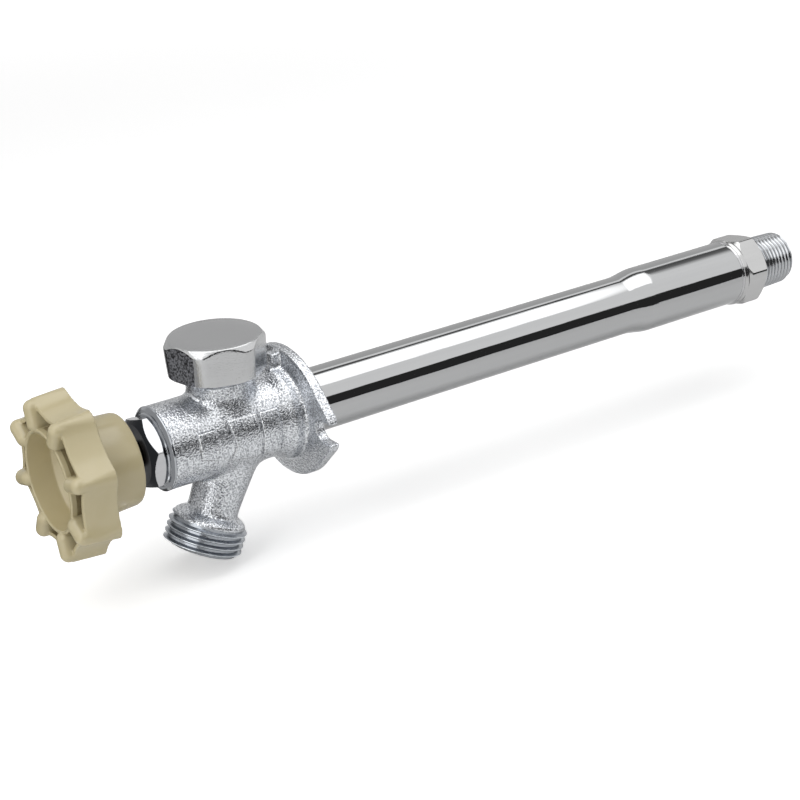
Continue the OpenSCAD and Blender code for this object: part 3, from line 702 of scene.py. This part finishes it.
def down_spout(start):
    """The place of something that starts that far down the spout's axis, in millimetres."""
    direction = Vector((0, -math.sin(SPOUT_TILT), -math.cos(SPOUT_TILT)))
    foot = (Vector((0, SPOUT_Y, 0)) + direction * start) * MM
    return Matrix.Translation(foot) @ direction.to_track_quat("Z", "X").to_matrix().to_4x4()


def face_finish(piece, material, chosen):
    """Gives a second material to some faces. chosen picks them from their centres, in millimetres, and
    their normals, each as three arrays."""
    faces = piece.data.polygons
    centres, normals = np.zeros(3 * len(faces), np.float32), np.zeros(3 * len(faces), np.float32)
    faces.foreach_get("center", centres)
    faces.foreach_get("normal", normals)
    index = np.zeros(len(faces), np.int32)
    faces.foreach_get("material_index", index)
    index[chosen(centres.reshape(-1, 3).T / MM, normals.reshape(-1, 3).T)] = len(piece.data.materials)
    piece.data.materials.append(material)
    faces.foreach_set("material_index", index)


HOSE_CREST_R, HOSE_PITCH, HOSE_START, HOSE_LENGTH = 13.45, 2.209, 34.2, 9.6


def hose_flank(centres, normals):
    return in_spout(*centres)[0] < HOSE_CREST_R - 0.25


def hose_root(centres, normals):
    """The spout's outside from just past the thread's start, with its rim, but not its mouth."""
    from_spout, down = in_spout(*centres)
    return (down > HOSE_START + 0.2) & (from_spout > 10.4)


# The crests are painted bright, a painted highlight, and the flanks dark, painted shade.
painted_highlight_thread = plated("painted_highlight_thread", (0.82, 0.86, 0.9), 0.12, 0.24, (1.0, 1.0, 1.0), 0.4, 0.00003)
painted_shade_thread_flank = plated("painted_shade_thread_flank", (0.44, 0.465, 0.5), 0.16, 0.32, (1.0, 1.0, 1.0), 0.4, 0.00003)
hose_thread = thread(
    "hose_thread", painted_highlight_thread, down_spout(HOSE_START), Start_Radius=0.01235, End_Radius=0.01235,
    Length=HOSE_LENGTH * MM, Turns=HOSE_LENGTH / HOSE_PITCH, Ridge_Height=0.0022, Ridge_Foot=0.0023,
    Ridge_Top=0.00022, Ridge_Round=0.00005, Run_Out=0.22)
face_finish(hose_thread, painted_shade_thread_flank, hose_flank)
# The spout's outside past the thread's start takes the flanks' painted shade too.
face_finish(casting, painted_shade_thread_flank, hose_root)
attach(hose_thread, "fixed_body")


# Packing nut: milled and turned brass, plated bright. It screws into the barrel and squeezes the
# packing on the stem. Both ends of its hexagon are turned, so its corners run off in arcs.
def wrench_hexagon(name, stations, corner_turn, place, edge=0.35, corner=0.6):
    """A turned hexagon. A station is (along, flat radius, turned radius) in millimetres; the turning
    cuts the corners where it is smaller, and a flat radius of None is plain round. edge and corner
    soften the two kinds of edge."""
    n = 6 * 72
    a = 2 * math.pi * np.arange(n) / n
    from_middle = np.abs((a + math.pi / 6) % (math.pi / 3) - math.pi / 6)
    around = a + math.radians(corner_turn + 30)
    points = []
    for along, flat, turned in stations:
        r = np.full(n, float(turned))
        if flat is not None:
            six = smooth_min(flat / np.cos(from_middle), flat / np.cos(math.pi / 3 - from_middle), corner)
            r = smooth_min(six, r, edge)
        points += [(u * MM, v * MM, along * MM) for u, v in zip(r * np.cos(around), r * np.sin(around))]
    faces = []
    for k, station in enumerate(stations):
        other = (k + 1) % len(stations)
        if station[2] == 0 and stations[other][2] == 0:
            continue
        for i in range(n):
            j = (i + 1) % n
            faces.append((k * n + i, k * n + j, other * n + j, other * n + i))
    mesh = bpy.data.meshes.new(name)
    mesh.from_pydata(points, [], faces)
    mesh.transform(place)
    close_up(mesh, 28.0)
    return link(mesh, name)


def turned_end(flat, start_r, face, reach, way):
    """Stations of a hexagon's turned end. The cut runs from start_r at the face out to the corners,
    reach further along, and a few steps past them. way is 1 or -1."""
    corner_r = flat / math.cos(math.pi / 6)
    steps, past = 18, 4
    return [(face + way * reach * i / steps, flat, start_r + (corner_r - start_r) * i / steps)
            for i in range(steps + past + 1)]


# A local Z axis laid along +Y, with local X still along +X: local Y then points down.
ALONG_Y = Matrix(((1, 0, 0, 0), (0, 0, 1, 0), (0, -1, 0, 0), (0, 0, 0, 1)))
NUT_FLAT, NUT_Y, BARREL_END_Y = 11.35, -58.4, -53.2
NUT_REAR_Y = BARREL_END_Y - 0.02
plated_milled = plated("plated_milled", (0.62, 0.625, 0.64), 0.07, 0.16, (1.0, 0.03, 1.0), 0.3, 0.000006)
nut_bore = [(NUT_Y + 1.6, None, 4.1), (NUT_Y + 0.1, None, 5.9), (NUT_Y, None, 6.1), (NUT_Y, None, 10.0)]
nut_plug = [(NUT_REAR_Y, None, 10.15), (BARREL_END_Y + 5.2, None, 10.15), (BARREL_END_Y + 5.6, None, 9.8),
            (BARREL_END_Y + 5.6, None, 8.2), (BARREL_END_Y - 0.3, None, 8.2),
            (BARREL_END_Y - 0.3, None, 4.1)]
front_end = turned_end(NUT_FLAT, 10.25, NUT_Y, 2.1, 1)
rear_end = turned_end(NUT_FLAT, 11.05, NUT_REAR_Y, 1.4, -1)
nut = wrench_hexagon("packing_nut_hexagon", nut_bore + front_end + rear_end[::-1] + nut_plug, 43, ALONG_Y)
nut.data.materials.append(plated_milled)

# The nut's front, which faces the handle, is painted near black: painted shade and painted dark reflection.
nut_front_shade, tree, shader = finish("painted_shade_nut_front", (0.04, 0.043, 0.048), 1.0, 0.3)
roughness_patches = use(tree, handling, Size=5.0)
feed(tree, shader, Roughness=blend_values(tree, roughness_patches.outputs["Smudge"], 0.24, 0.4))
face_finish(nut, nut_front_shade, lambda centres, normals: normals[1] < -0.4)
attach(nut, "fixed_body")
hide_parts("packing_nut")


# Vacuum breaker's cap: a milled hexagon with tapering flats, its top turned flat and its corners
# turned round, satin plated. It screws down over the breaker's neck.
plated_cap = plated("plated_cap", (0.60, 0.605, 0.61), 0.12, 0.2, (0.05, 0.05, 1.0), 0.3, 0.000008)
tree = plated_cap.node_tree
shader = tree.nodes["Principled BSDF"]
satin = use(tree, cast_grain, Grain_Size=0.5, Grit=0.3)
milled = shader.inputs["Normal"].links[0].from_socket
feed(tree, shader, Normal=raise_surface(tree, satin.outputs["Height"], 0.00006, milled))
CAP_RIM_Z, CAP_TOP_Z = 20.6, 33.1
CAP_FLAT_RIM, CAP_FLAT_TOP = 15.1, 15.5


def cap_flat(z):
    """The flats' distance from the axis at that height: they taper towards the rim."""
    return CAP_FLAT_RIM + (CAP_FLAT_TOP - CAP_FLAT_RIM) * (z - CAP_RIM_Z) / (CAP_TOP_Z - CAP_RIM_Z)


cap_side = [
    (CAP_RIM_Z, 15.75), (20.75, 16.05), (21.0, 16.3), (23.5, 16.5), (26, 16.65), (28.5, 16.78),
    (30.6, 16.86), (30.95, 16.84), (31.15, 16.75), (31.35, 16.6), (31.6, 16.42), (31.85, 16.24),
    (32.05, 16.09), (32.2, 15.98), (32.35, 15.87), (32.5, 15.76), (32.62, 15.67), (32.74, 15.58),
    (32.85, 15.49), (32.95, 15.38), (33.04, 15.22), (CAP_TOP_Z, 15.0)]
cap_top_and_inside = [
    (CAP_TOP_Z, None, 10), (CAP_TOP_Z, None, 0), (30.5, None, 0), (30.5, None, 11.6), (30.1, None, 12.65),
    (22.0, None, 12.65), (21.2, None, 13.5), (CAP_RIM_Z, None, 13.5)]
cap = wrench_hexagon("breaker_cap_hexagon", [(z, cap_flat(z), r) for z, r in cap_side] + cap_top_and_inside,
                     13.2, Matrix.Translation((0, BREAKER_Y * MM, 0)), 0.7)
cap.data.materials.append(plated_cap)

# The flat that faces the handle is painted dark and pitted: a painted dark reflection over a pitted grain.
painted_dark_facet, tree, shader = finish("painted_reflection_facet", (0.2, 0.2, 0.2), 1.0, 0.2)
pitted = use(tree, cast_grain, Grain_Size=0.8, Grit=0.3)
feed(tree, shader,
     Base_Color=blend_colours(tree, pitted.outputs["Speckle"], (0.02, 0.02, 0.022), (0.36, 0.365, 0.39)),
     Normal=raise_surface(tree, pitted.outputs["Height"], 0.0001))
face_finish(cap, painted_dark_facet, lambda centres, normals: (normals[1] < -0.93) & (np.abs(normals[2]) < 0.2))
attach(cap, "fixed_body")
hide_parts("breaker_cap")


# Supply tube: drawn tube, polished and plated, swaged up at its far end to take the inlet fitting.
# The draw bench leaves faint lines along it.
TUBE_R, TUBE_WALL, TUBE_START_Y, TUBE_END_Y = 11.1125, 1.65, -11.5, 199.1
SWAGE_R, SWAGE_Y, SWAGE_LENGTH = 12.45, 144, 12
plated_drawn = plated("plated_drawn", (0.55, 0.555, 0.56), 0.035, 0.06, (1.0, 0.012, 1.0), 0.5, 0.000008)


def tube_line(r, big_r):
    """One side of the tube's wall as (radius, along), swelling from r to big_r, its end rounded."""
    steps = 14
    line = [(r, TUBE_START_Y)]
    for i in range(steps + 1):
        swell = 0.5 - 0.5 * math.cos(math.pi * i / steps)
        line.append((r + (big_r - r) * swell, SWAGE_Y + SWAGE_LENGTH * i / steps))
    return line + [(big_r, 157), (big_r, TUBE_END_Y - 0.7), (big_r, TUBE_END_Y - 0.2),
                   (big_r - 0.06, TUBE_END_Y - 0.06), (big_r - 0.2, TUBE_END_Y)]


outer = tube_line(TUBE_R, SWAGE_R)
inner = tube_line(TUBE_R - TUBE_WALL, SWAGE_R - TUBE_WALL)
tube = turned_piece("supply_tube_skin", outer + inner[::-1], steps=192)
tube.data.materials.append(plated_drawn)
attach(tube, "fixed_body")
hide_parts("supply_tube")


# Braze at the tube's end: a ring of silver braze that fills the joint between tube and hexagon,
# plated over.
plated_braze, tree, shader = finish("plated_braze", (0.62, 0.62, 0.63), 1.0, 0.16)
bead = use(tree, cast_grain, Grain_Size=1.6, Grit=0.3)
feed(tree, shader, Roughness=blend_values(tree, bead.outputs["Speckle"], 0.1, 0.26),
     Normal=raise_surface(tree, bead.outputs["Height"], 0.00008))
braze = turned_piece("braze_fillet", [
    (10.8, TUBE_END_Y), (12.2, TUBE_END_Y), (12.36, 199.16), (12.47, 199.28), (12.53, 199.45),
    (12.57, 199.7), (12.6, 199.99), (10.8, 199.99)])
braze.data.materials.append(plated_braze)
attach(braze, "fixed_body")
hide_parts("braze_ring")


# Inlet fitting: turned and milled brass, plated. Its hexagon takes a wrench, its shank is brazed into
# the tube and carries the seat, and its end has a taper pipe thread and a socket for solder.
plated_fitting = plated("plated_fitting", (0.62, 0.62, 0.62), 0.09, 0.18, (0.6, 0.03, 0.6), 0.3, 0.000008)
HEX_FLAT, HEX_Y, HEX_END_Y, INLET_Y = 12.7, 200.0, 211.9, 229.6
SHANK_R, SOCKET_R, SOCKET_DEPTH, WATERWAY_R = 10.75, 7.98, 12.7, 6.4
seat_and_shank = [
    (164.0, None, 4.5), (160.0, None, 4.5), (160.0, None, 6.0), (161.6, None, 6.6), (161.6, None, 9.75),
    (162.6, None, SHANK_R), (HEX_Y, None, SHANK_R), (HEX_Y, None, 12.3)]
collar = [(200.03, 12.6), (200.12, 12.8), (200.35, 12.98), (200.7, 13.12), (201.1, 13.2), (201.45, 13.16),
          (201.68, 13.04), (201.82, 12.88), (201.9, 12.7), (201.98, 12.7)]
tube_side = turned_end(HEX_FLAT, 13.1, 202.02, 1.3, 1)
thread_side = turned_end(HEX_FLAT, 12.3, HEX_END_Y, 1.6, -1)
end_and_socket = [
    (HEX_END_Y, None, 11.9), (HEX_END_Y, None, 9.45), (INLET_Y - 1.0, None, 8.93), (INLET_Y, None, 8.6),
    (INLET_Y, None, 8.2), (INLET_Y - 0.3, None, SOCKET_R), (INLET_Y - SOCKET_DEPTH, None, SOCKET_R),
    (INLET_Y - SOCKET_DEPTH, None, WATERWAY_R), (167.0, None, WATERWAY_R)]
fitting = wrench_hexagon(
    "inlet_fitting_hexagon", seat_and_shank + [(y, None, r) for y, r in collar] + tube_side
    + thread_side[::-1] + end_and_socket, 52, ALONG_Y, 0.45, 2.4)
fitting.data.materials.append(plated_fitting)
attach(fitting, "fixed_body")
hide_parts("inlet_fitting")

# The taper pipe thread: 14 to the inch, 1 in 16.
PIPE_Y, PIPE_LENGTH, PIPE_PITCH = 212.5, 16.6, 1.814
PIPE_CREST_R, PIPE_TAPER = 10.63, 0.0313
pipe_thread = thread(
    "pipe_thread", painted_highlight_thread, Matrix.Translation((0, PIPE_Y * MM, 0)) @ ALONG_Y,
    Start_Radius=0.00988, End_Radius=0.00936, Length=PIPE_LENGTH * MM, Turns=PIPE_LENGTH / PIPE_PITCH,
    Ridge_Height=0.0015, Ridge_Foot=0.0021, Ridge_Top=0.00016, Ridge_Round=0.00004, Run_Out=0.3)


def pipe_flank(centres, normals):
    x, y, z = centres
    return np.hypot(x, z) < PIPE_CREST_R - PIPE_TAPER * (y - PIPE_Y) - 0.2


# The pipe thread's flanks are painted darker than its painted-highlight crests: painted shade.
painted_shade_fitting_flank = plated("painted_shade_fitting_flank", (0.55, 0.56, 0.575), 0.1, 0.2, (1.0, 1.0, 1.0), 0.3, 0.00001)
face_finish(pipe_thread, painted_shade_fitting_flank, pipe_flank)
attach(pipe_thread, "fixed_body")


# Handle: one moulding of tan plastic. Eight blunt lobes on a hollow skirt, a round cup inside it, a
# round ended rib across each lobe and a tapering hub behind, all softened by the mould's radii.
tan_plastic, tree, shader = finish("tan_plastic", (0.56, 0.49, 0.31), 0.0, 0.34)
moulded = use(tree, cast_grain, Grain_Size=0.5, Grit=0.9)
worn = use(tree, handling, Size=9.0)
feed(tree, shader, Specular_IOR_Level=0.65,
     Base_Color=blend_colours(tree, worn.outputs["Smudge"], (0.54, 0.468, 0.282), (0.555, 0.485, 0.302)),
     Roughness=blend_values(tree, worn.outputs["Smudge"], 0.18, 0.26),
     Normal=raise_surface(tree, moulded.outputs["Height"], 0.000012))

CUP_Y, CUP_FLOOR_Y, CUP_IN_R, CUP_OUT_R = -89.4, -76.0, 16.06, 17.3
SKIRT_FRONT_Y, SKIRT_REAR_Y, SKIRT_WALL, SKIRT_LEAN = -88.0, -77.0, 1.4, 0.7
LOBE_R, LOBE_TURN = 27.6, math.radians(16)
HOLLOW_R, HOLLOW_ARC_R, HOLLOW_TILT = 24.5, 22, math.radians(8)
HUB_FRONT_R, HUB_REAR_R, HUB_Y, HUB_BORE_R, HUB_BORE_DEPTH = 16.3, 15.5, -62.5, 12, 4.5
RIB_R, RIB_FRONT_Y, RIB_FROM_R, RIB_TO_R = 2.7, -88.5, 19, 23.9
SQUARE_HALF = 2.85
EIGHTH = math.pi / 4


def skirt_distance(rho, angle, y, inset):
    """The skirt's outside, or with an inset the hollow in it. It leans in towards its front."""
    from_rear = SKIRT_REAR_Y - y
    lean = SKIRT_LEAN * from_rear / (SKIRT_REAR_Y - SKIRT_FRONT_Y)
    to_hollow = np.abs((angle - LOBE_TURN) % EIGHTH - EIGHTH / 2)
    out, across = rho * np.cos(to_hollow), rho * np.sin(to_hollow)
    sides = out - ((LOBE_R + HOLLOW_R) / 2 - 0.15 - inset - lean)
    shape = smooth_max(sides, rho - (LOBE_R - inset - lean), 0.8)
    axis = (HOLLOW_R + HOLLOW_ARC_R) - from_rear * math.tan(HOLLOW_TILT)
    hollow = np.sqrt(((out - axis) * math.cos(HOLLOW_TILT)) ** 2 + across ** 2) - HOLLOW_ARC_R - inset
    return smooth_max(shape, -hollow, 0.6)


def rib_distance(rho, angle, y):
    """The nearest lobe's rib, rounded at its front and at both its ends."""
    to_lobe = (angle - LOBE_TURN + EIGHTH / 2) % EIGHTH - EIGHTH / 2
    out, across = rho * np.cos(to_lobe), rho * np.sin(to_lobe)
    past = np.maximum(np.maximum(RIB_FROM_R - out, out - RIB_TO_R), 0)
    ahead = np.maximum(RIB_FRONT_Y - y, 0)
    return np.maximum(np.sqrt(past ** 2 + ahead ** 2 + across ** 2) - RIB_R, y - (SKIRT_REAR_Y - 1))


def handle_distance(x, y, z):
    rho = np.sqrt(x * x + z * z)
    angle = np.arctan2(z, x)
    hub = outline_distance(rho, y, [
        (-5, CUP_Y), (CUP_OUT_R, CUP_Y), (CUP_OUT_R, SKIRT_REAR_Y - 1), (HUB_FRONT_R, SKIRT_REAR_Y),
        (HUB_REAR_R, HUB_Y - 1.2), (HUB_REAR_R - 0.35, HUB_Y - 0.35), (HUB_REAR_R - 1.2, HUB_Y),
        (-5, HUB_Y)])
    skirt = smooth_max(skirt_distance(rho, angle, y, 0),
                       np.maximum(SKIRT_FRONT_Y - y, y - SKIRT_REAR_Y), 0.35)
    inside = np.maximum(skirt_distance(rho, angle, y, SKIRT_WALL), y - (SKIRT_REAR_Y - 2))
    skirt = smooth_max(skirt, -np.maximum(inside, CUP_OUT_R - rho), 0.2)
    shape = smooth_min(smooth_min(hub, skirt, 0.4), rib_distance(rho, angle, y), 0.25)
    cup = outline_distance(rho, y, [
        (-5, CUP_Y - 3), (CUP_IN_R, CUP_Y - 3), (CUP_IN_R, CUP_FLOOR_Y - 5),
        (CUP_IN_R - 2.6, CUP_FLOOR_Y - 1.6), (CUP_IN_R - 4, CUP_FLOOR_Y), (-5, CUP_FLOOR_Y)])
    shape = smooth_max(shape, -cup, 0.4)
    square = np.maximum(np.maximum(np.abs(x), np.abs(z)) - SQUARE_HALF, -(y - (CUP_FLOOR_Y - 1)))
    bore = np.maximum(rho - HUB_BORE_R, -(y - (HUB_Y - HUB_BORE_DEPTH)))
    return np.maximum(shape, -np.minimum(square, bore))


handle = skin("handle_moulding", handle_distance, (-29, -92, -29), (29, -61.8, 29), 0.42)
handle.data.materials.append(tan_plastic)

# The hollow between skirt and cup is painted darker and matt: painted shade, where little light gets in.
hollow_shade, tree, shader = finish("painted_shade_plastic", (0.27, 0.215, 0.11), 0.0, 0.5)
hollow_grain = use(tree, cast_grain, Grain_Size=0.8, Grit=0.5)
feed(tree, shader,
     Base_Color=blend_colours(tree, hollow_grain.outputs["Speckle"], (0.24, 0.19, 0.095), (0.29, 0.235, 0.125)),
     Normal=raise_surface(tree, hollow_grain.outputs["Height"], 0.00002))


def in_recess(centres, normals):
    x, y, z = centres
    rho, angle = np.hypot(x, z), np.arctan2(z, x)
    return ((skirt_distance(rho, angle, y, SKIRT_WALL) < 0.25) & (rho > CUP_OUT_R - 0.15)
            & (y > SKIRT_FRONT_Y + 0.5) & (y < SKIRT_REAR_Y - 1.5) & (rib_distance(rho, angle, y) > 0.3))


# The hollow's faces take the painted shade.
face_finish(handle, hollow_shade, in_recess)
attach(handle, "stem_and_handle")
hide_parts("handle")


def dress(material, *names):
    """Puts a material on CAD nodes that the scene shows as they are."""
    for name in names:
        for place in nodes[name].material_slots:
            place.material = material


def bare_metal(name, light, dark, stretch):
    made, tree, shader = finish(name, light, 1.0, 0.25)
    marks = use(tree, tool_marks, Stretch=stretch, Line_Width=0.25)
    touched = use(tree, handling, Size=8.0)
    feed(tree, shader, Base_Color=blend_colours(tree, touched.outputs["Smudge"], light, dark),
         Roughness=blend_values(tree, marks.outputs["Streak"], 0.2, 0.38),
         Normal=raise_surface(tree, marks.outputs["Height"], 0.00002))
    return made


BRASS, TARNISH = (0.72, 0.55, 0.28), (0.55, 0.39, 0.18)
TURNED_ALONG, TURNED_UPRIGHT = (0.03, 1.0, 0.03), (0.03, 0.03, 1.0)
dress(bare_metal("turned_brass", BRASS, TARNISH, TURNED_ALONG),
      "stem_bushing", "packing_washer", "washer_holder")
dress(bare_metal("turned_brass_upright", BRASS, TARNISH, TURNED_UPRIGHT), "breaker_insert")
# The stem is painted near black: painted shade where it shows between handle and nut.
dress(bare_metal("painted_shade_brass", (0.07, 0.058, 0.045), (0.03, 0.027, 0.022), TURNED_ALONG), "valve_stem")


# Steel inside: the screws of handle and seat washer, the washer in the cup, the clip on the stem and
# the retainer under the float's disc, all turned or stamped stainless.
dress(bare_metal("turned_steel", (0.58, 0.58, 0.585), (0.42, 0.42, 0.425), (0.05, 1.0, 0.05)),
      "handle_screw", "handle_washer", "seat_screw", "stem_clip", "float_retainer")


# Seals: moulded black rubber rings, disc and seat washer, and a grey packing pressed from graphite
# fibre, which the packing nut squeezes round the stem.
def soft_seal(name, light, dark, grain, depth, dull):
    made, tree, shader = finish(name, light, 0.0, dull)
    pores = use(tree, cast_grain, Grain_Size=grain, Grit=0.8)
    feed(tree, shader, Base_Color=blend_colours(tree, pores.outputs["Speckle"], dark, light),
         Roughness=blend_values(tree, pores.outputs["Speckle"], dull - 0.1, dull + 0.1),
         Normal=raise_surface(tree, pores.outputs["Height"], depth))
    return made


dress(soft_seal("black_rubber", (0.035, 0.035, 0.036), (0.02, 0.02, 0.021), 0.35, 0.00002, 0.6),
      "bushing_o_ring", "breaker_o_ring", "float_disc", "seat_washer")
dress(soft_seal("graphite_packing", (0.13, 0.13, 0.135), (0.05, 0.05, 0.055), 0.6, 0.00008, 0.5),
      "stem_packing")


# White plastic: the breaker's float and the guide on the long rod, moulded acetal that slides on metal
# without grease.
dress(soft_seal("white_acetal", (0.82, 0.81, 0.76), (0.74, 0.73, 0.68), 0.8, 0.000012, 0.42),
      "breaker_float", "stem_guide")
